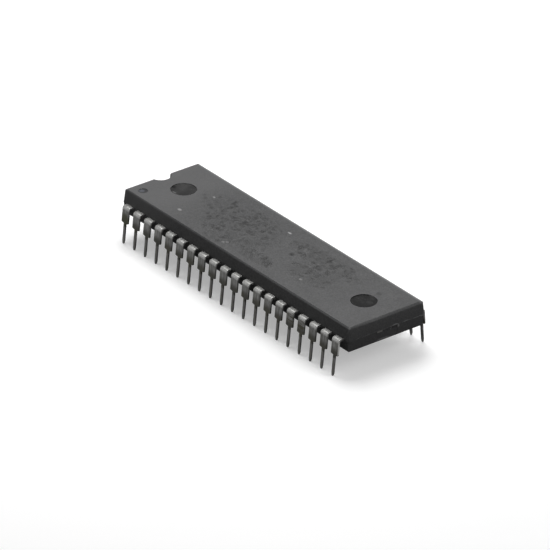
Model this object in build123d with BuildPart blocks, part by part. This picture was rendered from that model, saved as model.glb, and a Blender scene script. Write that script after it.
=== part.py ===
from build123d import *
from math import radians, tan
import os

# Forty-lead plastic dual in-line memory chip, of the kind programmed once, with no window.
# X runs along the package away from its notch, Y crosses it, and Z is up from the lead tips.
# Lead 1 is beside the notch on the minus Y side, and the numbers run round anticlockwise.

# Leads, stamped from strip and bent down in two rows
lead_count = 40
lead_pitch = 2.54
row_spacing = 15.24
lead_thickness = 0.25
lead_splay = 5.0
bend_radius = 0.40
shoulder_width = 1.52
shoulder_length = 2.45
shoulder_slope = 0.10
tip_length = 3.30
tip_width = 0.46
point_length = 0.45
point_width = 0.24

# Inner fingers of the lead frame, which fan in to the die
root_length = 0.90
finger_width = 0.40
finger_gap = 0.50
fingers_beside_die = 5
knee_step = 0.30
elbow_rise = 0.30
elbow_margin = 0.35
elbow_reach = 1.30
elbow_stagger = 0.60

# Die, its glue and the paddle that carries it
die_length = 6.40
die_width = 4.20
die_thickness = 0.40
glue_thickness = 0.04
glue_border = 0.10
paddle_border_x = 1.00
paddle_border_y = 0.70
paddle_downset = 0.40

# Tie bars, which hold the paddle to both ends of the moulding
tie_width = 0.60
tie_gap = 0.20
tie_fork_width = 0.95
tie_fork_spacing = 2.70
tie_fork_length = 4.50
tie_slope_length = 0.60
tie_stub = 0.06

# Gold wires from the die to the fingers
wire_diameter = 0.032
wire_sides = 4
wire_rise = 0.18
wire_overrun = 0.20
pad_inset = 0.15
bond_inset = 0.22

# Moulding, in two drafted halves that meet at the top of the lead frame
upper_height = 2.00
lower_height = 1.95
draft = 6.0
end_margin = 1.90
row_clearance = 0.72
corner_bevel = 0.30
end_bevel = 0.26
end_bevel_height = 0.34
side_bevel = 0.22

# Marks that the mould leaves
notch_radius = 1.62
notch_depth = 1.30
ejector_diameter = 3.86
ejector_depth = 0.08
ejector_spacing = 41.35
ejector_offset = 0.09
dimple_diameter = 1.40
dimple_depth = 0.06
dimple_from_end = 2.34
dimple_from_side = 1.93
gate_width = 3.90
gate_height = 1.30
gate_depth = 0.16

# Levels and outlines that follow from the sizes above
leads_per_row = lead_count // 2
leads_per_quarter = leads_per_row // 2
lead_top = tip_length + shoulder_length
lead_bottom = lead_top - lead_thickness
lead_middle = lead_top - lead_thickness / 2
paddle_top = lead_top - paddle_downset
glue_top = paddle_top + glue_thickness
die_top = glue_top + die_thickness
body_length = (leads_per_row - 1) * lead_pitch + 2 * end_margin
body_width = row_spacing - 2 * row_clearance
body_top = lead_top + upper_height
body_bottom = lead_top - lower_height
root_end = body_width / 2 - root_length
paddle_length = die_length + 2 * paddle_border_x
paddle_width = die_width + 2 * paddle_border_y
ring_x = paddle_length / 2 + finger_gap
ring_y = paddle_width / 2 + finger_gap

# Spacing of the finger tips round one quarter of the paddle
fingers_beyond_die = leads_per_quarter - fingers_beside_die
side_tip_pitch = paddle_length / 2 / fingers_beside_die
first_end_tip = tie_width / 2 + tie_gap + finger_width / 2
last_end_tip = ring_y - finger_width / 2
end_tip_pitch = (last_end_tip - first_end_tip) / (fingers_beyond_die - 1)
elbow_step = (root_end - ring_y - elbow_rise - elbow_margin) / (fingers_beside_die - 1)


def quarter_place(number):
    """Give a lead's X and Y signs and its rank, counted from the middle of its row."""
    row_side = -1 if number <= leads_per_row else 1
    column = number - 1 if row_side < 0 else lead_count - number
    steps_from_middle = column - (leads_per_row - 1) / 2
    end_side = -1 if steps_from_middle < 0 else 1
    return end_side, row_side, int(abs(steps_from_middle))


def finger_tip(rank):
    """Place the inner end of a finger, in the quarter where X and Y are positive."""
    if rank < fingers_beside_die:
        return (rank + 0.5) * side_tip_pitch, ring_y
    return ring_x, first_end_tip + (leads_per_quarter - 1 - rank) * end_tip_pitch


def finger_elbow(rank):
    """Place the last corner of a finger, where it turns to face the paddle."""
    tip_x, tip_y = finger_tip(rank)
    if rank < fingers_beside_die:
        return tip_x, ring_y + elbow_rise + (fingers_beside_die - 1 - rank) * elbow_step
    return tip_x + elbow_reach + (rank - fingers_beside_die) * elbow_stagger, tip_y


def make_lead(number):
    """Stamp and bend one lead: a wide shoulder, a narrow pointed tip and its inner finger."""
    end_side, row_side, rank = quarter_place(number)
    lead_x = (rank + 0.5) * lead_pitch
    tip_x, tip_y = finger_tip(rank)
    elbow_x, elbow_y = finger_elbow(rank)
    knee_y = root_end - rank * knee_step
    leg_end = row_spacing / 2 + lead_middle * tan(radians(lead_splay))
    overrun = lead_thickness * tan(radians(lead_splay))

    with BuildPart() as lead:
        # The bent strip, seen along the row
        with BuildSketch(Plane.YZ.offset(end_side * lead_x)):
            with BuildLine():
                FilletPolyline(
                    (row_side * root_end, lead_middle),
                    (row_side * row_spacing / 2, lead_middle),
                    (row_side * (leg_end + overrun * tan(radians(lead_splay))), -overrun),
                    radius=bend_radius - lead_thickness / 2,
                )
            trace(line_width=lead_thickness)
        extrude(amount=shoulder_width / 2, both=True)

        # The stamped front outline: shoulder, narrow tip and blunt point
        with BuildSketch(Plane.XZ.shift_origin((end_side * lead_x, 0, 0))):
            with BuildLine():
                Polyline(
                    (0, 0),
                    (point_width / 2, 0),
                    (tip_width / 2, point_length),
                    (tip_width / 2, tip_length - shoulder_slope),
                    (shoulder_width / 2, tip_length),
                    (shoulder_width / 2, lead_top),
                    (0, lead_top),
                )
                mirror(about=Plane.YZ)
            make_face()
        extrude(amount=row_spacing, both=True, mode=Mode.INTERSECT)

        # The finger, in the plane of the lead frame
        with BuildSketch(Plane.XY.offset(lead_bottom)):
            with BuildLine():
                Polyline(
                    (end_side * lead_x, row_side * (root_end + finger_width)),
                    (end_side * lead_x, row_side * knee_y),
                    (end_side * elbow_x, row_side * elbow_y),
                    (end_side * tip_x, row_side * tip_y),
                )
            trace(line_width=finger_width)
        extrude(amount=lead_thickness)
    return lead.part


# Lead frame: forty leads, each cut free of its neighbours after moulding
leads = []
for number in range(1, lead_count + 1):
    lead = make_lead(number)
    lead.label = f"pin_{number:02d}"
    leads.append(lead)

# Die paddle: set down below the leads on a stem at each end, forked round the notch
with BuildPart() as die_paddle:
    with BuildSketch(Plane.XY.offset(paddle_top - lead_thickness)):
        Rectangle(paddle_length, paddle_width)
    extrude(amount=lead_thickness)
    stem_start = paddle_length / 2
    fork_start = body_length / 2 - tie_fork_length
    with BuildSketch(Plane.XZ):
        with BuildLine():
            Polyline(
                (stem_start - tie_width, lead_middle - paddle_downset),
                (stem_start, lead_middle - paddle_downset),
                (stem_start + tie_slope_length, lead_middle),
                (fork_start, lead_middle),
            )
        trace(line_width=lead_thickness)
        mirror(about=Plane.YZ)
    extrude(amount=tie_width / 2, both=True)
    with BuildSketch(Plane.XY.offset(lead_bottom)):
        with BuildLine():
            Polyline(
                (fork_start - tie_fork_width, 0),
                (fork_start, 0),
                (fork_start + tie_fork_spacing / 2, tie_fork_spacing / 2),
                (body_length / 2 + tie_stub, tie_fork_spacing / 2),
            )
        trace(line_width=tie_fork_width)
        mirror(about=Plane.XZ)
        mirror(about=Plane.YZ)
    extrude(amount=lead_thickness)

# Glue: the thin layer that holds the die to its paddle
with BuildPart() as die_attach:
    with BuildSketch(Plane.XY.offset(paddle_top)):
        Rectangle(die_length + 2 * glue_border, die_width + 2 * glue_border)
    extrude(amount=glue_thickness)

# Die: the sawn block of silicon
with BuildPart() as silicon_die:
    with BuildSketch(Plane.XY.offset(glue_top)):
        Rectangle(die_length, die_width)
    extrude(amount=die_thickness)

def make_wire(number):
    """Bond one wire: up from its pad on the die, then down to a flat end on its finger."""
    end_side, row_side, rank = quarter_place(number)
    tip_x, tip_y = finger_tip(rank)
    if rank < fingers_beside_die:
        pad_x = tip_x * die_length / paddle_length
        pad_y = die_width / 2 - pad_inset
        bond_x = tip_x
        bond_y = tip_y + bond_inset
    else:
        pad_x = die_length / 2 - pad_inset
        pad_y = tip_y * die_width / paddle_width
        bond_x = tip_x + bond_inset
        bond_y = tip_y
    pad = Vector(end_side * pad_x, row_side * pad_y, die_top)
    bond = Vector(end_side * bond_x, row_side * bond_y, lead_top)

    with BuildPart() as wire:
        with BuildLine():
            loop_top = pad + Vector(0, 0, wire_rise)
            Polyline(pad, loop_top, bond + (bond - loop_top) * wire_overrun)
        with BuildSketch(Plane(pad)):
            RegularPolygon(radius=wire_diameter / 2, side_count=wire_sides)
        sweep(transition=Transition.RIGHT)
        split(bisect_by=Plane.XY.offset(lead_top))
    return wire.part


# Bond wires: one from the edge of the die to each finger, with flats for its round section
with BuildPart() as bond_wires:
    add([make_wire(number) for number in range(1, lead_count + 1)])

# Moulding: two drafted halves cast round everything above
with BuildPart() as package_body:
    with BuildSketch(Plane.XY.offset(lead_top)) as outline:
        Rectangle(body_length, body_width)
        chamfer(outline.vertices(), length=corner_bevel)
    extrude(amount=upper_height, taper=draft)
    with BuildSketch(Plane.XY.offset(lead_top).rotated((180, 0, 0))) as outline:
        Rectangle(body_length, body_width)
        chamfer(outline.vertices(), length=corner_bevel)
    extrude(amount=lower_height, taper=draft)

    # Bevels along the ends and sides of the top and bottom faces
    for level, inward, height in ((body_top, -1, upper_height), (body_bottom, 1, lower_height)):
        for profile_plane, half_size, bevel, bevel_height in (
            (Plane.XZ, body_length / 2, end_bevel, end_bevel_height),
            (Plane.YZ, body_width / 2, side_bevel, side_bevel),
        ):
            rim = half_size - height * tan(radians(draft))
            foot = rim + bevel_height * tan(radians(draft))
            with BuildSketch(profile_plane):
                with BuildLine():
                    Polyline(
                        (rim - bevel, level),
                        (half_size, level),
                        (foot, level + inward * bevel_height),
                        close=True,
                    )
                make_face()
                mirror(about=Plane.YZ)
            extrude(amount=body_length, both=True, mode=Mode.SUBTRACT)

    # Half-round notch in the end beside lead 1
    with BuildSketch(Plane.XY.offset(body_top)):
        with Locations((-body_length / 2, 0)):
            Circle(notch_radius)
    extrude(amount=-notch_depth, mode=Mode.SUBTRACT)

    # Shallow round marks of the ejector pins, above and below
    for level, inward in ((body_top, -1), (body_bottom, 1)):
        with BuildSketch(Plane.XY.offset(level)):
            with Locations((ejector_offset, 0)):
                with GridLocations(ejector_spacing, 1, 2, 1):
                    Circle(ejector_diameter / 2)
        extrude(amount=inward * ejector_depth, mode=Mode.SUBTRACT)

    # Dimple beside lead 1
    with BuildSketch(Plane.XY.offset(body_top)):
        with Locations((dimple_from_end - body_length / 2, dimple_from_side - body_width / 2)):
            Circle(dimple_diameter / 2)
    extrude(amount=-dimple_depth, mode=Mode.SUBTRACT)

    # Scar where the gate broke off, under the lead frame at the far end
    with BuildSketch(Plane.YZ.offset(body_length / 2 - gate_depth)):
        with Locations((0, lead_bottom)):
            Rectangle(gate_width, gate_height, align=(Align.CENTER, Align.MAX))
    extrude(amount=2 * gate_depth, mode=Mode.SUBTRACT)

    # The compound fills every space round the frame, the die and the wires
    add(
        [*leads, die_paddle.part, die_attach.part, silicon_die.part, bond_wires.part],
        mode=Mode.SUBTRACT,
    )

os.makedirs("parts", exist_ok=True)

for lead in leads:
    export_step(lead, f"parts/{lead.label}.step")

die_paddle.part.label = "die_paddle"
export_step(die_paddle.part, "parts/die_paddle.step")

die_attach.part.label = "die_attach"
export_step(die_attach.part, "parts/die_attach.step")

silicon_die.part.label = "silicon_die"
export_step(silicon_die.part, "parts/silicon_die.step")

bond_wires.part.label = "bond_wires"
export_step(bond_wires.part, "parts/bond_wires.step")

package_body.part.label = "package_body"
export_step(package_body.part, "parts/package_body.step")
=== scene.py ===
import math

import bpy
from mathutils import Matrix, Vector


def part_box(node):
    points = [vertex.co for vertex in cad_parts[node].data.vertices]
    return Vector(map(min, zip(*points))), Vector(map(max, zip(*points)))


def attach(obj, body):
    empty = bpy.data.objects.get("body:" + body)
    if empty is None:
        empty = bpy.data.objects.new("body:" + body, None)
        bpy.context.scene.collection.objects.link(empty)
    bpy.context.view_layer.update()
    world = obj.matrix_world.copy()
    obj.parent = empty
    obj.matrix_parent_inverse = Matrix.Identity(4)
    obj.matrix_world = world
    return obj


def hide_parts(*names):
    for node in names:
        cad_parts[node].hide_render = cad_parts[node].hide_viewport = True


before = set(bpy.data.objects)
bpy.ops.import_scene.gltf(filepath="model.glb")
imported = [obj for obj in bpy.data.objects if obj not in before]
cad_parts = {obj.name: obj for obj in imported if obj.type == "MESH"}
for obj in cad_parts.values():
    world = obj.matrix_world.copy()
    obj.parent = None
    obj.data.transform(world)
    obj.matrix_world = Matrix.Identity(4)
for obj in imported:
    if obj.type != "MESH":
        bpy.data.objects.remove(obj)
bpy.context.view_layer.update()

# Die paddle: the pad of the lead frame under the die, with its stems and forked tie bars.
# It is bare copper alloy, stamped with the leads from one strip. Only the cut ends of its
# tie bars show, as dull specks at both ends of the moulding.
millimetre = 0.001
_, paddle_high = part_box("die_paddle")
strip_top = paddle_high.z
noise_low = 0.3
noise_high = 0.7
inner_blotch_scale = 900.0
inner_stain_share = 0.5
fork_fade = (-0.2 * millimetre, 0.2 * millimetre)
stub_fade = (paddle_high.x - 0.19 * millimetre, paddle_high.x - 0.11 * millimetre)
pale_stub = (0.130, 0.126, 0.120, 1.0)
dark_stub = (0.024, 0.024, 0.024, 1.0)


def start_finish(name, **even_values):
    """Make a material and set the shader's values that are the same all over the part."""
    material = bpy.data.materials.new(name)
    material.use_nodes = True
    shader = material.node_tree.nodes["Principled BSDF"]
    for socket, value in even_values.items():
        shader.inputs[socket.replace("_", " ")].default_value = value
    return material, material.node_tree, shader


def put_node(tree, kind, values=None, **settings):
    """Put a node in a finish, with its settings and its sockets' values."""
    node = tree.nodes.new(kind)
    for name, value in settings.items():
        setattr(node, name, value)
    for socket, value in (values or {}).items():
        node.inputs[socket].default_value = value
    return node


def feed(tree, source, socket):
    """Link a source to a socket, or set the socket where the source is a plain value."""
    if isinstance(source, bpy.types.NodeSocket):
        tree.links.new(source, socket)
    else:
        socket.default_value = source


def combine(tree, operation, first, second):
    """Join two masks by an arithmetic operation."""
    step = put_node(tree, "ShaderNodeMath", operation=operation)
    feed(tree, first, step.inputs[0])
    feed(tree, second, step.inputs[1])
    return step.outputs["Value"]


def combine_places(tree, operation, first, second):
    """Join two places by an arithmetic operation, axis by axis."""
    step = put_node(tree, "ShaderNodeVectorMath", operation=operation)
    feed(tree, first, step.inputs[0])
    feed(tree, second, step.inputs[1])
    return step.outputs["Vector"]


def blend(tree, mask, under, over, share=1.0):
    """Lay one colour over another where the mask is high, by a share of the mask."""
    if share < 1.0:
        mask = combine(tree, "MULTIPLY", mask, share)
    mix = put_node(tree, "ShaderNodeMix", data_type="RGBA")
    feed(tree, mask, mix.inputs["Factor"])
    feed(tree, under, mix.inputs[6])
    feed(tree, over, mix.inputs[7])
    return mix.outputs[2]


def ramp(tree, source, start=0.0, end=1.0, low=0.0, high=1.0):
    """Turn a value into a mask that eases from low at start to high at end."""
    eased = put_node(
        tree,
        "ShaderNodeMapRange",
        {"To Min": low, "To Max": high},
        interpolation_type="SMOOTHSTEP",
    )
    feed(tree, source, eased.inputs["Value"])
    feed(tree, start, eased.inputs["From Min"])
    feed(tree, end, eased.inputs["From Max"])
    return eased.outputs["Result"]


def add_noise(tree, place, scale, detail, roughness, distortion=0.0):
    """Put a noise in a finish and give its socket."""
    noise = put_node(
        tree,
        "ShaderNodeTexNoise",
        {"Detail": detail, "Roughness": roughness, "Distortion": distortion},
    )
    feed(tree, place, noise.inputs["Vector"])
    feed(tree, scale, noise.inputs["Scale"])
    return noise.outputs["Fac"]


def place_on_part(tree):
    """Give the socket for a point's place on the chip, in metres."""
    return put_node(tree, "ShaderNodeTexCoord").outputs["Object"]


def split_place(tree, place):
    """Give the sockets for a place's distances along X, Y and Z."""
    split = put_node(tree, "ShaderNodeSeparateXYZ")
    feed(tree, place, split.inputs["Vector"])
    return split.outputs


def start_group(name, inputs, masks):
    """Make a shared effect's node group, with its sockets for values in and masks out."""
    group = bpy.data.node_groups.new(name, "ShaderNodeTree")
    for socket, kind in inputs.items():
        group.interface.new_socket(socket, in_out="INPUT", socket_type=kind)
    for socket in masks:
        group.interface.new_socket(socket, in_out="OUTPUT", socket_type="NodeSocketFloat")
    given = group.nodes.new("NodeGroupInput").outputs
    wanted = group.nodes.new("NodeGroupOutput").inputs
    return group, given, wanted


def build_handling_wear():
    """Build the blotches, rubbed streaks and grain that every surface of the chip has."""
    group, given, wanted = start_group(
        "handling_wear",
        {
            "Place": "NodeSocketVector",
            "Blotch Scale": "NodeSocketFloat",
            "Streak Scale": "NodeSocketVector",
            "Grain Scale": "NodeSocketFloat",
        },
        ("Blotches", "Streaks", "Grain"),
    )
    place = given["Place"]
    drawn_out = combine_places(group, "MULTIPLY", place, given["Streak Scale"])
    for name, noise in (
        ("Blotches", add_noise(group, place, given["Blotch Scale"], detail=4.0, roughness=0.6)),
        ("Streaks", add_noise(group, drawn_out, scale=1.0, detail=3.0, roughness=0.7)),
        ("Grain", add_noise(group, place, given["Grain Scale"], detail=2.0, roughness=0.5)),
    ):
        feed(group, ramp(group, noise, noise_low, noise_high), wanted[name])
    return group


handling_wear = build_handling_wear()


def add_wear(tree, place, blotch_scale, streak_scale, grain_scale):
    """Put the chip's wear in a finish, at this finish's own scales."""
    wear = put_node(
        tree,
        "ShaderNodeGroup",
        {"Blotch Scale": blotch_scale, "Streak Scale": streak_scale, "Grain Scale": grain_scale},
        node_tree=handling_wear,
    )
    feed(tree, place, wear.inputs["Place"])
    return wear.outputs


def raise_grain(tree, shader, height, depth):
    """Raise the surface by a mask, to a depth in metres."""
    bump = put_node(tree, "ShaderNodeBump", {"Strength": 1.0, "Distance": depth})
    feed(tree, height, bump.inputs["Height"])
    feed(tree, bump.outputs["Normal"], shader.inputs["Normal"])


def inner_finish(name, clean, stained, roughness, streak_scale, grain_scale, grain_depth):
    """Finish a part from inside the moulding, clean with faint stains."""
    material, tree, shader = start_finish(name, Metallic=1.0)
    place = place_on_part(tree)
    wear = add_wear(tree, place, inner_blotch_scale, streak_scale, grain_scale)
    streaked = blend(tree, wear["Streaks"], clean, stained, share=inner_stain_share)
    colour = blend(tree, wear["Blotches"], clean, streaked)
    feed(tree, colour, shader.inputs["Base Color"])
    smooth, rough = roughness
    feed(tree, ramp(tree, wear["Blotches"], low=smooth, high=rough), shader.inputs["Roughness"])
    raise_grain(tree, shader, wear["Grain"], grain_depth)
    return material, tree, shader, place, colour


def refinish(node_name, material):
    """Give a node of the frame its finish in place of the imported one."""
    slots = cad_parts[node_name].data.materials
    slots.clear()
    slots.append(material)


copper_alloy, tree, shader, place, colour = inner_finish(
    "copper_alloy",
    clean=(0.50, 0.41, 0.31, 1.0),
    stained=(0.22, 0.17, 0.13, 1.0),
    roughness=(0.35, 0.55),
    streak_scale=(300.0, 3000.0, 3000.0),
    grain_scale=9000.0,
    grain_depth=0.003 * millimetre,
)
along = split_place(tree, place)
stub_shade = blend(tree, ramp(tree, along["Y"], *fork_fade), pale_stub, dark_stub)
from_middle = combine(tree, "ABSOLUTE", along["X"], 0.0)
at_stub = ramp(tree, from_middle, *stub_fade)
feed(tree, blend(tree, at_stub, colour, stub_shade), shader.inputs["Base Color"])
feed(tree, ramp(tree, at_stub, low=1.0, high=0.0), shader.inputs["Metallic"])
refinish("die_paddle", copper_alloy)

# Leads: forty strips of the frame, stamped, bent down and plated with tin after moulding.
# The stamping leaves soft edges, the bends carry a painted highlight of brighter tin, and
# handling has streaked the flat faces. Painted shade darkens them lower down, less at the points.
lead_count = 40
_, last_lead_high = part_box("pin_20")
stamped_edge = 0.035 * millimetre
join_distance = 0.0005 * millimetre
flat_turn = math.radians(1.0)
smooth_turn = math.radians(40.0)
bend_foot = 5.12 * millimetre
bend_middle = 5.42 * millimetre
bend_top = strip_top
# Heights of the painted shade on the lower faces, and of the points where it eases off.
shade_high = 4.7 * millimetre
shade_low = 3.6 * millimetre
point_start = 3.1 * millimetre
point_clear = 2.5 * millimetre
# Where a painted highlight runs down the outer edge of the last lead.
edge_highlight_fade = (last_lead_high.x - 0.05 * millimetre, last_lead_high.x - 0.01 * millimetre)
near_row_fade = (-7.0 * millimetre, -7.2 * millimetre)
shoulder_foot_fade = (3.2 * millimetre, 3.6 * millimetre)
shoulder_head_fade = (5.4 * millimetre, 5.1 * millimetre)
score_scale = (350.0, 350.0, 3600.0)
stain_roughness = 0.12
dull_streak = (0.32, 0.32, 0.31, 1.0)
bright_streak = (0.66, 0.66, 0.65, 1.0)
top_tin = (0.34, 0.34, 0.335, 1.0)
# Bright tin on the bends is a painted highlight, and the dark tin lower down is painted shade.
bend_highlight_tin = (0.92, 0.92, 0.91, 1.0)
painted_shade_tin = (0.15, 0.15, 0.14, 1.0)
stained_tin = (0.24, 0.23, 0.18, 1.0)
scored_tin = (0.20, 0.19, 0.15, 1.0)
greenish_tin = (0.20, 0.205, 0.145, 1.0)
painted_edge_highlight = (0.90, 0.90, 0.88, 1.0)


def take_copy(node_name, piece_name):
    """Copy a node's mesh into a new piece and join its loose triangles into whole faces."""
    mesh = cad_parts[node_name].data.copy()
    mesh.materials.clear()
    piece = bpy.data.objects.new(piece_name, mesh)
    bpy.context.scene.collection.objects.link(piece)
    bpy.ops.object.select_all(action="DESELECT")
    bpy.context.view_layer.objects.active = piece
    piece.select_set(True)
    bpy.ops.object.mode_set(mode="EDIT")
    bpy.ops.mesh.select_all(action="SELECT")
    bpy.ops.mesh.remove_doubles(threshold=join_distance)
    bpy.ops.mesh.dissolve_limited(angle_limit=flat_turn)
    bpy.ops.object.mode_set(mode="OBJECT")
    return piece


def round_sharp_edges(width, segments):
    """Round every sharp edge of the active piece."""
    bpy.ops.object.mode_set(mode="EDIT")
    bpy.ops.mesh.select_mode(type="EDGE")
    bpy.ops.mesh.select_all(action="DESELECT")
    bpy.ops.mesh.edges_select_sharp(sharpness=smooth_turn)
    bpy.ops.mesh.bevel(offset=width, segments=segments, clamp_overlap=True)
    bpy.ops.object.mode_set(mode="OBJECT")


def find_middle(mesh, edge):
    """Find the middle of an edge."""
    start, end = (mesh.vertices[index].co for index in edge.vertices)
    return (start + end) / 2


def smooth_over(piece, turn, is_crisp=None):
    """Shade gentle edges smooth, broad faces flat, and edges at a crisp place sharp."""
    bpy.ops.object.shade_smooth_by_angle(angle=turn)
    if is_crisp:
        for edge in piece.data.edges:
            if is_crisp(find_middle(piece.data, edge)):
                edge.use_edge_sharp = True
    weighted = piece.modifiers.new("broad_faces_first", "WEIGHTED_NORMAL")
    weighted.keep_sharp = True
    weighted.weight = 100
    bpy.ops.object.modifier_apply(modifier=weighted.name)


def build_oval_spot():
    """Build the soft oval mask that the chip's single stains, scuffs and flecks are laid by."""
    group, given, wanted = start_group(
        "oval_spot",
        {
            "Place": "NodeSocketVector",
            "Centre": "NodeSocketVector",
            "Reach": "NodeSocketVector",
            "Outer Edge": "NodeSocketFloat",
            "Inner Edge": "NodeSocketFloat",
        },
        ("Mask",),
    )
    offset = combine_places(group, "SUBTRACT", given["Place"], given["Centre"])
    share = combine_places(group, "DIVIDE", offset, given["Reach"])
    distance = put_node(group, "ShaderNodeVectorMath", operation="LENGTH")
    feed(group, share, distance.inputs[0])
    mask = ramp(group, distance.outputs["Value"], given["Outer Edge"], given["Inner Edge"])
    feed(group, mask, wanted["Mask"])
    return group


oval_spot = build_oval_spot()


def spot(tree, place, centre, reach, softness):
    """Mask an oval spot on the chip, from its centre and reach in millimetres."""
    oval = put_node(
        tree,
        "ShaderNodeGroup",
        {
            "Centre": Vector(centre) * millimetre,
            "Reach": Vector(reach) * millimetre,
            "Outer Edge": 1.0 + softness,
            "Inner Edge": 1.0 - softness,
        },
        node_tree=oval_spot,
    )
    feed(tree, place, oval.inputs["Place"])
    return oval.outputs["Mask"]


tin_plating, tree, shader = start_finish("tin_plating", Metallic=1.0)
place = place_on_part(tree)
along = split_place(tree, place)
wear = add_wear(
    tree, place, blotch_scale=520.0, streak_scale=(5200.0, 420.0, 420.0), grain_scale=9000.0
)
on_top = ramp(tree, along["Z"], bend_middle, bend_top)
on_bend = combine(tree, "SUBTRACT", ramp(tree, along["Z"], bend_foot, bend_middle), on_top)
above_points = ramp(tree, along["Z"], point_clear, point_start)
# Painted shade: the faces darken lower down, easing off towards the points.
lower_down = ramp(tree, along["Z"], shade_high, shade_low)
lower_down = combine(tree, "MULTIPLY", lower_down, ramp(tree, above_points, low=0.25))
stain = combine(tree, "MULTIPLY", wear["Blotches"], ramp(tree, lower_down, low=0.12, high=0.6))
tin = blend(tree, wear["Streaks"], dull_streak, bright_streak)
tin = blend(tree, on_top, tin, top_tin, share=0.85)
# Painted highlight: brighter tin on the bends.
tin = blend(tree, on_bend, tin, bend_highlight_tin, share=0.9)
# Painted shade lower down on the leads.
tin = blend(tree, lower_down, tin, painted_shade_tin, share=0.9)
tin = blend(tree, stain, tin, stained_tin)

drawn_thin = put_node(tree, "ShaderNodeMapping", {"Scale": score_scale})
feed(tree, place, drawn_thin.inputs["Vector"])
scores = add_noise(
    tree, drawn_thin.outputs["Vector"], scale=1.0, detail=2.0, roughness=0.6
)
score_lines = ramp(tree, scores, start=0.44, end=0.56, low=0.10, high=0.95)
scored_leads = spot(tree, place, centre=(15.24, -7.9, 4.6), reach=(2.2, 1.0, 1.0), softness=0.15)
tin = blend(tree, combine(tree, "MULTIPLY", scored_leads, score_lines), tin, scored_tin)
green_lead = spot(tree, place, centre=(-24.13, -7.9, 3.7), reach=(1.0, 1.0, 1.0), softness=0.3)
tin = blend(tree, green_lead, tin, greenish_tin, share=0.8)

# Painted highlight: a bright, non-metallic strip down the outer edge of the last lead.
edge_highlight_mask = ramp(tree, along["X"], *edge_highlight_fade)
for limit in (
    ramp(tree, along["Y"], *near_row_fade),
    ramp(tree, along["Z"], *shoulder_foot_fade),
    ramp(tree, along["Z"], *shoulder_head_fade),
):
    edge_highlight_mask = combine(tree, "MULTIPLY", edge_highlight_mask, limit)
feed(tree, blend(tree, edge_highlight_mask, tin, painted_edge_highlight), shader.inputs["Base Color"])
feed(tree, ramp(tree, edge_highlight_mask, low=1.0, high=0.1), shader.inputs["Metallic"])
worn_rough = ramp(tree, combine(tree, "MAXIMUM", on_top, on_bend), low=0.50, high=0.58)
stained_rough = combine(tree, "MULTIPLY", stain, stain_roughness)
feed(tree, combine(tree, "ADD", worn_rough, stained_rough), shader.inputs["Roughness"])
raise_grain(tree, shader, wear["Streaks"], depth=0.004 * millimetre)

for number in range(1, lead_count + 1):
    lead = take_copy(f"pin_{number:02d}", f"lead_{number:02d}")
    round_sharp_edges(stamped_edge, segments=2)
    smooth_over(lead, smooth_turn)
    lead.data.materials.append(tin_plating)
    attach(lead, "root")
    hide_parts(f"pin_{number:02d}")

# Die attach: a thin bed of silver-filled epoxy, squeezed out a little round the die.
# It is cured on the paddle to a dull grey with a coarse grain.
silver_epoxy, *_ = inner_finish(
    "silver_epoxy",
    clean=(0.50, 0.50, 0.48, 1.0),
    stained=(0.30, 0.30, 0.29, 1.0),
    roughness=(0.55, 0.75),
    streak_scale=(2500.0, 2500.0, 2500.0),
    grain_scale=14000.0,
    grain_depth=0.006 * millimetre,
)
refinish("die_attach", silver_epoxy)

# Silicon die: a sawn block of silicon, stuck down by the epoxy bed.
# Its polished top shines blue-grey, with the memory cells as a fine regular grain.
polished_silicon, *_ = inner_finish(
    "polished_silicon",
    clean=(0.26, 0.30, 0.42, 1.0),
    stained=(0.17, 0.19, 0.24, 1.0),
    roughness=(0.12, 0.25),
    streak_scale=(9000.0, 1200.0, 1200.0),
    grain_scale=20000.0,
    grain_depth=0.001 * millimetre,
)
refinish("silicon_die", polished_silicon)

# Bond wires: forty fine gold wires from the die's pads to the fingers of the frame.
# Each is welded down at both ends before the moulding closes round it.
drawn_gold, *_ = inner_finish(
    "drawn_gold",
    clean=(0.95, 0.70, 0.28, 1.0),
    stained=(0.82, 0.56, 0.20, 1.0),
    roughness=(0.20, 0.32),
    streak_scale=(4000.0, 4000.0, 4000.0),
    grain_scale=20000.0,
    grain_depth=0.0005 * millimetre,
)
refinish("bond_wires", drawn_gold)

# Moulded body: black epoxy compound, pressed round the frame in a steel tool.
# The tool leaves a fine matte skin, smooth discs from its ejector pins and a thin flash
# at the parting line. The print on top has worn to a dull mottle.
body_low, body_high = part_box("package_body")
top_level = body_high.z / millimetre
parting_height = strip_top
lead_pitch = 2.54 * millimetre
first_lead = -(lead_count / 2 - 1) / 2 * lead_pitch
gap_start = 0.3
row_side = 6.8 * millimetre
end_side = 25.7 * millimetre
line_margin = 0.01 * millimetre
flash_band = 0.03 * millimetre
flash_height = 0.03 * millimetre
flash_margin = 0.06 * millimetre
rim_turn = math.radians(47.0)
end_bevel_side = 25.6 * millimetre
end_bevel_least = 0.3 * millimetre
end_bevel_most = 0.4 * millimetre
ejector_radius = 1.93 * millimetre
ejector_places = (-20.59 * millimetre, 20.76 * millimetre)
dimple_radius = 0.70 * millimetre
dimple_place = Vector((-23.69, -4.97, top_level)) * millimetre
mark_margin = 1.1
mark_depth = 0.2 * millimetre
patch_depth = 1.0
spot_depth = 0.5
print_lift = 0.12
scuff_strength = 0.75
mark_polish = 0.17
strong_print_fade = (0.0, 3.0 * millimetre)
lit_end_fade = (-12.0 * millimetre, -21.0 * millimetre)
far_rim_fade = (6.08 * millimetre, 6.24 * millimetre)
notch_rim_fade = (-25.30 * millimetre, -25.56 * millimetre)
rim_height_fade = (7.2 * millimetre, 7.7 * millimetre)
far_end_fade = (25.3 * millimetre, 25.6 * millimetre)
far_corner_fade = (-2.0 * millimetre, 5.0 * millimetre)
flash_fade = (0.09 * millimetre, 0.03 * millimetre)
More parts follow.
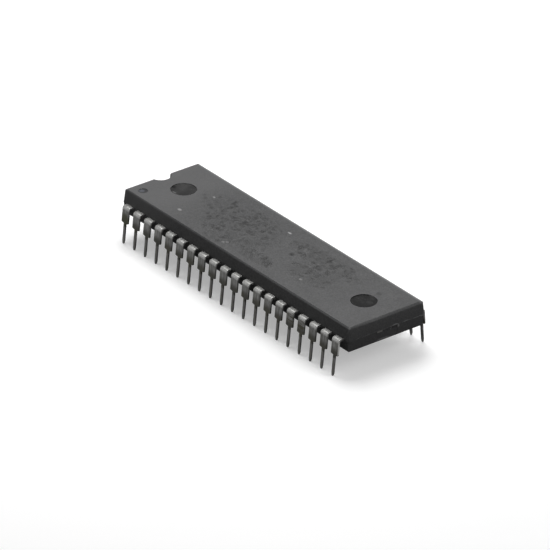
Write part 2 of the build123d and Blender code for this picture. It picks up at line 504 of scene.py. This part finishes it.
ring_fade = (5.0 * millimetre, 5.4 * millimetre)
grey_disc_fade = (-10.0 * millimetre, -15.0 * millimetre)
dark_grain = (0.031, 0.031, 0.032, 1.0)
pale_grain = (0.052, 0.052, 0.053, 1.0)
dull_blotch = (0.030, 0.030, 0.031, 1.0)
painted_light_skin = (0.066, 0.066, 0.067, 1.0)
# Painted highlight on the far rim and the notch-end rim.
painted_rim_highlight = (0.110, 0.110, 0.112, 1.0)
# Pale flecks on the end, and painted highlights on the rounding of the near corner.
fleck_and_highlight_skin = (0.140, 0.140, 0.141, 1.0)
torn_skin = (0.150, 0.150, 0.151, 1.0)
flash_shade = (0.170, 0.170, 0.171, 1.0)
# Painted shade on the dimple's sloping rim and painted light in its middle.
dimple_painted_shade = (0.006, 0.006, 0.009, 1.0)
dimple_dull = (0.040, 0.043, 0.052, 1.0)
dimple_shine = (0.055, 0.060, 0.074, 1.0)


def grey(level):
    """Give an even grey."""
    return level, level, level, 1.0


def top_spot(tree, place, centre, reach, softness, depth=spot_depth):
    """Mask an oval spot on the top face, from its centre and reach along X and Y."""
    return spot(tree, place, (*centre, top_level), (*reach, depth), softness)


compound, tree, shader = start_finish("compound")
place = place_on_part(tree)
along = split_place(tree, place)
wear = add_wear(
    tree, place, blotch_scale=260.0, streak_scale=(1100.0, 2100.0, 2100.0), grain_scale=4200.0
)
skin = blend(tree, wear["Grain"], dark_grain, pale_grain)
skin = blend(tree, wear["Blotches"], skin, dull_blotch, share=0.25)

worn_print = 0.0
for centre, reach, strength in (
    ((-6.2, -0.6), (6.4, 4.9), 0.82),
    ((-14.6, 1.6), (3.4, 2.2), 0.7),
    ((8.8, 2.7), (7.0, 1.8), 1.0),
    ((10.6, -1.0), (4.0, 2.6), 1.0),
    ((1.8, -4.2), (3.4, 1.3), 1.0),
):
    patch = top_spot(tree, place, centre, reach, softness=0.3, depth=patch_depth)
    patch = combine(tree, "MULTIPLY", patch, strength)
    worn_print = combine(tree, "MAXIMUM", worn_print, patch)
print_grain = add_noise(tree, place, scale=1200.0, detail=3.5, roughness=0.62, distortion=1.2)
print_level = combine(tree, "MULTIPLY", worn_print, print_lift)
print_level = combine(tree, "ADD", print_level, print_grain)
scuffs = ramp(tree, print_level, start=0.61, end=0.70)
scuffs = combine(tree, "MULTIPLY", scuffs, scuff_strength)

ink_dots = put_node(tree, "ShaderNodeTexVoronoi", {"Scale": 1100.0, "Randomness": 1.0})
feed(tree, place, ink_dots.inputs["Vector"])
dot_colour = put_node(tree, "ShaderNodeSeparateColor")
feed(tree, ink_dots.outputs["Color"], dot_colour.inputs["Color"])
chosen_dots = ramp(tree, dot_colour.outputs["Red"], start=0.40, end=0.80, high=0.85)
dot_shape = ramp(tree, ink_dots.outputs["Distance"], start=0.58, end=0.32)
chosen_dots = combine(tree, "MULTIPLY", chosen_dots, dot_shape)

dark_marks = combine(tree, "MAXIMUM", scuffs, chosen_dots)
dark_marks = combine(tree, "MULTIPLY", ramp(tree, worn_print, end=0.35), dark_marks)
mark_strength = ramp(tree, along["X"], *strong_print_fade, low=0.88)
dark_marks = combine(tree, "MULTIPLY", dark_marks, mark_strength)
for centre, reach in (
    ((20.50, 2.95), (0.46, 0.40)),
    ((4.05, 0.33), (0.44, 0.40)),
    ((8.90, 3.36), (0.34, 0.60)),
):
    dark_spot = top_spot(tree, place, centre, reach, softness=0.25)
    dark_marks = combine(tree, "MAXIMUM", dark_marks, dark_spot)
light_scratches = ramp(tree, print_grain, start=0.40, end=0.32)
light_scratches = combine(tree, "MULTIPLY", worn_print, light_scratches)
skin = blend(tree, worn_print, skin, grey(0.015), share=0.28)
skin = blend(tree, dark_marks, skin, grey(0.003), share=0.9)
skin = blend(tree, light_scratches, skin, grey(0.085), share=0.4)

for centre, reach, level in (
    ((-16.04, -4.24), (0.36, 0.24), 0.24),
    ((-16.04, 2.01), (0.22, 0.16), 0.24),
    ((-1.06, 4.01), (0.36, 0.16), 0.24),
    ((10.55, -3.25), (0.32, 0.20), 0.11),
    ((-4.70, -5.20), (0.24, 0.20), 0.10),
    ((-4.30, -4.76), (0.24, 0.20), 0.10),
):
    fleck = top_spot(tree, place, centre, reach, softness=0.4)
    skin = blend(tree, fleck, skin, grey(level))
# Painted light: the skin is paler towards the notch end.
skin = blend(tree, ramp(tree, along["X"], *lit_end_fade), skin, painted_light_skin, share=0.8)
# Painted highlight: a light line along the far rim and the notch-end rim.
rim_highlight = combine(
    tree,
    "MAXIMUM",
    ramp(tree, along["Y"], *far_rim_fade),
    ramp(tree, along["X"], *notch_rim_fade),
)
rim_highlight = combine(tree, "MULTIPLY", rim_highlight, ramp(tree, along["Z"], *rim_height_fade))
skin = blend(tree, rim_highlight, skin, painted_rim_highlight, share=0.8)

above_line = combine(tree, "SUBTRACT", along["Z"], parting_height)
off_line = combine(tree, "ABSOLUTE", above_line, 0.0)
on_flash = ramp(tree, along["X"], *far_end_fade)
for limit in (
    ramp(tree, off_line, *flash_fade),
    ramp(tree, wear["Streaks"], start=0.2, low=0.15),
    ramp(tree, along["Y"], *far_corner_fade, low=0.4),
):
    on_flash = combine(tree, "MULTIPLY", on_flash, limit)
skin = blend(tree, on_flash, skin, flash_shade)
torn_ring = combine(
    tree,
    "SUBTRACT",
    spot(tree, place, centre=(26.0, 1.45, 5.38), reach=(1.2, 0.80, 0.56), softness=0.08),
    spot(tree, place, centre=(26.0, 1.40, 5.33), reach=(1.2, 0.54, 0.34), softness=0.12),
)
torn_ring = combine(tree, "MULTIPLY", torn_ring, ramp(tree, along["Z"], *ring_fade))
skin = blend(tree, torn_ring, skin, torn_skin)
# Pale flecks on the end, low down and along the parting line. The last two spots, on the rounding
# of the near corner, are painted highlights.
for centre, reach, strength in (
    ((25.9, -0.6, 4.22), (0.6, 1.10, 0.12), 1.0),
    ((26.0, 3.45, 5.80), (0.3, 0.40, 0.07), 0.6),
    ((26.0, 5.30, 5.68), (0.3, 0.50, 0.06), 0.7),
    ((26.0, 6.35, 5.62), (0.3, 0.30, 0.08), 0.9),
    ((25.93, -6.80, 6.60), (0.16, 0.16, 1.0), 0.4),
    ((25.72, -6.50, 7.66), (0.22, 0.22, 0.15), 0.6),
):
    fleck_and_highlight = spot(tree, place, centre, reach, softness=0.35)
    skin = blend(tree, fleck_and_highlight, skin, fleck_and_highlight_skin, share=strength)
feed(tree, skin, shader.inputs["Base Color"])
matte = ramp(tree, wear["Blotches"], low=0.50, high=0.58)
smoother = combine(tree, "MULTIPLY", dark_marks, mark_polish)
feed(tree, combine(tree, "SUBTRACT", matte, smoother), shader.inputs["Roughness"])
raise_grain(tree, shader, wear["Grain"], depth=0.008 * millimetre)

ejector_polish, tree, shader = start_finish("ejector_polish")
place = place_on_part(tree)
along = split_place(tree, place)
wear = add_wear(
    tree, place, blotch_scale=600.0, streak_scale=(900.0, 5200.0, 5200.0), grain_scale=6000.0
)
disc = blend(tree, wear["Streaks"], grey(0.003), grey(0.009))
greyer_disc = blend(tree, wear["Blotches"], grey(0.022), grey(0.042))
disc = blend(tree, ramp(tree, along["X"], *grey_disc_fade, high=0.8), disc, greyer_disc)
for centre, reach, level in (
    ((-20.75, -1.58), (0.40, 0.16), 0.085),
    ((-22.10, -0.65), (0.34, 0.34), 0.002),
    ((21.50, 0.42), (0.50, 0.40), 0.020),
    ((21.70, 1.25), (0.40, 0.40), 0.002),
):
    scuff = top_spot(tree, place, centre, reach, softness=0.4)
    disc = blend(tree, scuff, disc, grey(level))
feed(tree, disc, shader.inputs["Base Color"])
feed(tree, ramp(tree, wear["Blotches"], low=0.16, high=0.23), shader.inputs["Roughness"])
raise_grain(tree, shader, wear["Grain"], depth=0.002 * millimetre)

dimple_floor, tree, shader = start_finish("dimple_floor")
place = place_on_part(tree)
wear = add_wear(
    tree, place, blotch_scale=900.0, streak_scale=(2500.0, 2500.0, 2500.0), grain_scale=6000.0
)
# Painted shade and light: the dimple's rim is dark and its middle lighter.
middle = spot(tree, place, centre=(-23.88, -5.06, 7.69), reach=(0.42, 0.40, 0.5), softness=0.25)
shine = blend(tree, wear["Grain"], dimple_dull, dimple_shine)
feed(tree, blend(tree, middle, dimple_painted_shade, shine), shader.inputs["Base Color"])
feed(tree, ramp(tree, wear["Blotches"], low=0.40, high=0.50), shader.inputs["Roughness"])
raise_grain(tree, shader, wear["Grain"], depth=0.003 * millimetre)


def is_parting_edge(middle):
    """Accept the edges of the parting line that lie between the leads or across an end."""
    at_line = abs(middle.z - parting_height) < line_margin
    step = (middle.x - first_lead) / lead_pitch
    from_lead = abs(step - round(step))
    between_leads = from_lead > gap_start and abs(middle.y) > row_side
    across_end = abs(middle.x) > end_side
    return at_line and (between_leads or across_end)


def is_crisp_edge(middle):
    """Accept the two edges of the flash and the foot of each end's bevel."""
    by_line = abs(middle.z - parting_height) < flash_margin
    depth = min(middle.z - body_low.z, body_high.z - middle.z)
    at_foot = abs(middle.x) > end_bevel_side and end_bevel_least < depth < end_bevel_most
    return by_line or at_foot


body = take_copy("package_body", "moulded_body")
finishes = (compound, ejector_polish, dimple_floor)
for finish in finishes:
    body.data.materials.append(finish)
bpy.ops.object.mode_set(mode="EDIT")
bpy.ops.mesh.select_mode(type="EDGE")
bpy.ops.mesh.select_all(action="DESELECT")
bpy.ops.object.mode_set(mode="OBJECT")
for edge in body.data.edges:
    edge.select = is_parting_edge(find_middle(body.data, edge))
bpy.ops.object.mode_set(mode="EDIT")
bpy.ops.mesh.bevel(offset=flash_band, segments=1, clamp_overlap=False)
bpy.ops.mesh.select_mode(type="FACE")
bpy.ops.mesh.extrude_region_shrink_fatten(TRANSFORM_OT_shrink_fatten={"value": flash_height})
bpy.ops.object.mode_set(mode="OBJECT")
smooth_over(body, rim_turn, is_crisp_edge)
for polygon in body.data.polygons:
    centre = polygon.center
    on_top_face = centre.z > body_high.z - mark_depth
    on_face = on_top_face or centre.z < body_low.z + mark_depth
    for ejector_x in ejector_places:
        from_pin = math.hypot(centre.x - ejector_x, centre.y)
        if on_face and from_pin < mark_margin * ejector_radius:
            polygon.material_index = finishes.index(ejector_polish)
    if on_top_face and (centre - dimple_place).length < mark_margin * dimple_radius:
        polygon.material_index = finishes.index(dimple_floor)
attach(body, "root")
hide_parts("package_body")

# Floor: a plain pale sheet under the points of the leads.
# It is bright to the camera and dim to the chip, so that the chip's sides stay as dark as
# in a soft light from above. From below it lets the view and the light through.
sheet_size = 3.0
sheet_glow = 0.35
pale_sheet = (0.70, 0.70, 0.70, 1.0)
dim_sheet = (0.14, 0.14, 0.14, 1.0)
white = (1.0, 1.0, 1.0, 1.0)

bpy.ops.object.select_all(action="DESELECT")
bpy.ops.mesh.primitive_plane_add(size=sheet_size, location=(0, 0, 0))
floor = bpy.context.active_object
floor.name = "floor"
floor_paint, tree, shader = start_finish(
    "floor_paint",
    Base_Color=pale_sheet,
    Roughness=0.9,
    Specular_IOR_Level=0.1,
    Emission_Color=white,
    Emission_Strength=sheet_glow,
)
dim = put_node(tree, "ShaderNodeBsdfDiffuse", {"Color": dim_sheet})
seen = put_node(tree, "ShaderNodeLightPath")
choose = put_node(tree, "ShaderNodeMixShader")
feed(tree, seen.outputs["Is Camera Ray"], choose.inputs["Fac"])
feed(tree, dim.outputs["BSDF"], choose.inputs[1])
feed(tree, shader.outputs["BSDF"], choose.inputs[2])
clear = put_node(tree, "ShaderNodeBsdfTransparent")
side = put_node(tree, "ShaderNodeNewGeometry")
let_through = combine(tree, "MAXIMUM", side.outputs["Backfacing"], seen.outputs["Is Shadow Ray"])
one_sided = put_node(tree, "ShaderNodeMixShader")
feed(tree, let_through, one_sided.inputs["Fac"])
feed(tree, choose.outputs["Shader"], one_sided.inputs[1])
feed(tree, clear.outputs["BSDF"], one_sided.inputs[2])
feed(tree, one_sided.outputs["Shader"], tree.nodes["Material Output"].inputs["Surface"])
floor.data.materials.append(floor_paint)

# Light: a pale room, with a soft lamp close over the chip that its matte top picks up, one
# on the faces of the leads, one on the end away from the notch and one on the underside.
room_grey = (0.9, 0.9, 0.9, 1.0)
room_strength = 0.24

world = bpy.data.worlds.new("pale_room")
world.use_nodes = True
background = world.node_tree.nodes["Background"]
background.inputs["Color"].default_value = room_grey
background.inputs["Strength"].default_value = room_strength
bpy.context.scene.world = world
bpy.context.scene.view_settings.view_transform = "Standard"


def point_away(azimuth, elevation):
    """Give the direction from the chip at an azimuth and elevation, in radians."""
    return Vector(
        (
            math.sin(azimuth) * math.cos(elevation),
            -math.cos(azimuth) * math.cos(elevation),
            math.sin(elevation),
        )
    )


def hang_lamp(name, azimuth, elevation, distance, size, watts):
    """Hang a square lamp round the chip, facing it, at angles in degrees."""
    away = point_away(math.radians(azimuth), math.radians(elevation))
    lamp_data = bpy.data.lights.new(name, "AREA")
    lamp_data.shape = "SQUARE"
    lamp_data.size = size
    lamp_data.energy = watts
    lamp = bpy.data.objects.new(name, lamp_data)
    lamp.location = away * distance
    lamp.rotation_mode = "QUATERNION"
    lamp.rotation_quaternion = away.to_track_quat("Z", "Y")
    bpy.context.scene.collection.objects.link(lamp)


hang_lamp("roof_lamp", azimuth=243.0, elevation=68.0, distance=0.17, size=0.12, watts=0.30)
hang_lamp("lead_lamp", azimuth=-48.0, elevation=14.0, distance=1.0, size=0.8, watts=0.88)
hang_lamp("end_lamp", azimuth=134.0, elevation=34.0, distance=1.0, size=0.6, watts=3.7)
hang_lamp("floor_lamp", azimuth=60.0, elevation=-80.0, distance=1.0, size=0.8, watts=1.2)

# Camera: a long lens from above the chip's near corner.
# It is turned a little on its axis and shares its aim with the photograph.
camera_azimuth = math.radians(51.295)
camera_elevation = math.radians(28.745)
camera_roll = math.radians(0.960)
camera_distance = 1122.42 * millimetre
aim_right = 0.419 * millimetre
aim_up = -2.603 * millimetre
aim_height = 5.70 * millimetre
sensor_width = 36.0
focal_length = 516.98

right = Vector((math.cos(camera_azimuth), math.sin(camera_azimuth), 0))
back = point_away(camera_azimuth, camera_elevation)
up = back.cross(right)
view_right = right * math.cos(camera_roll) + up * math.sin(camera_roll)
view_up = up * math.cos(camera_roll) - right * math.sin(camera_roll)
camera_data = bpy.data.cameras.new("camera")
camera_data.sensor_width = sensor_width
camera_data.lens = focal_length
camera = bpy.data.objects.new("camera", camera_data)
bpy.context.scene.collection.objects.link(camera)
camera.matrix_world = Matrix(
    (
        (view_right.x, view_up.x, back.x, 0),
        (view_right.y, view_up.y, back.y, 0),
        (view_right.z, view_up.z, back.z, 0),
        (0, 0, 0, 1),
    )
)
camera.location = (
    back * camera_distance + view_right * aim_right + view_up * aim_up + Vector((0, 0, aim_height))
)
bpy.context.scene.camera = camera

bpy.context.view_layer.update()
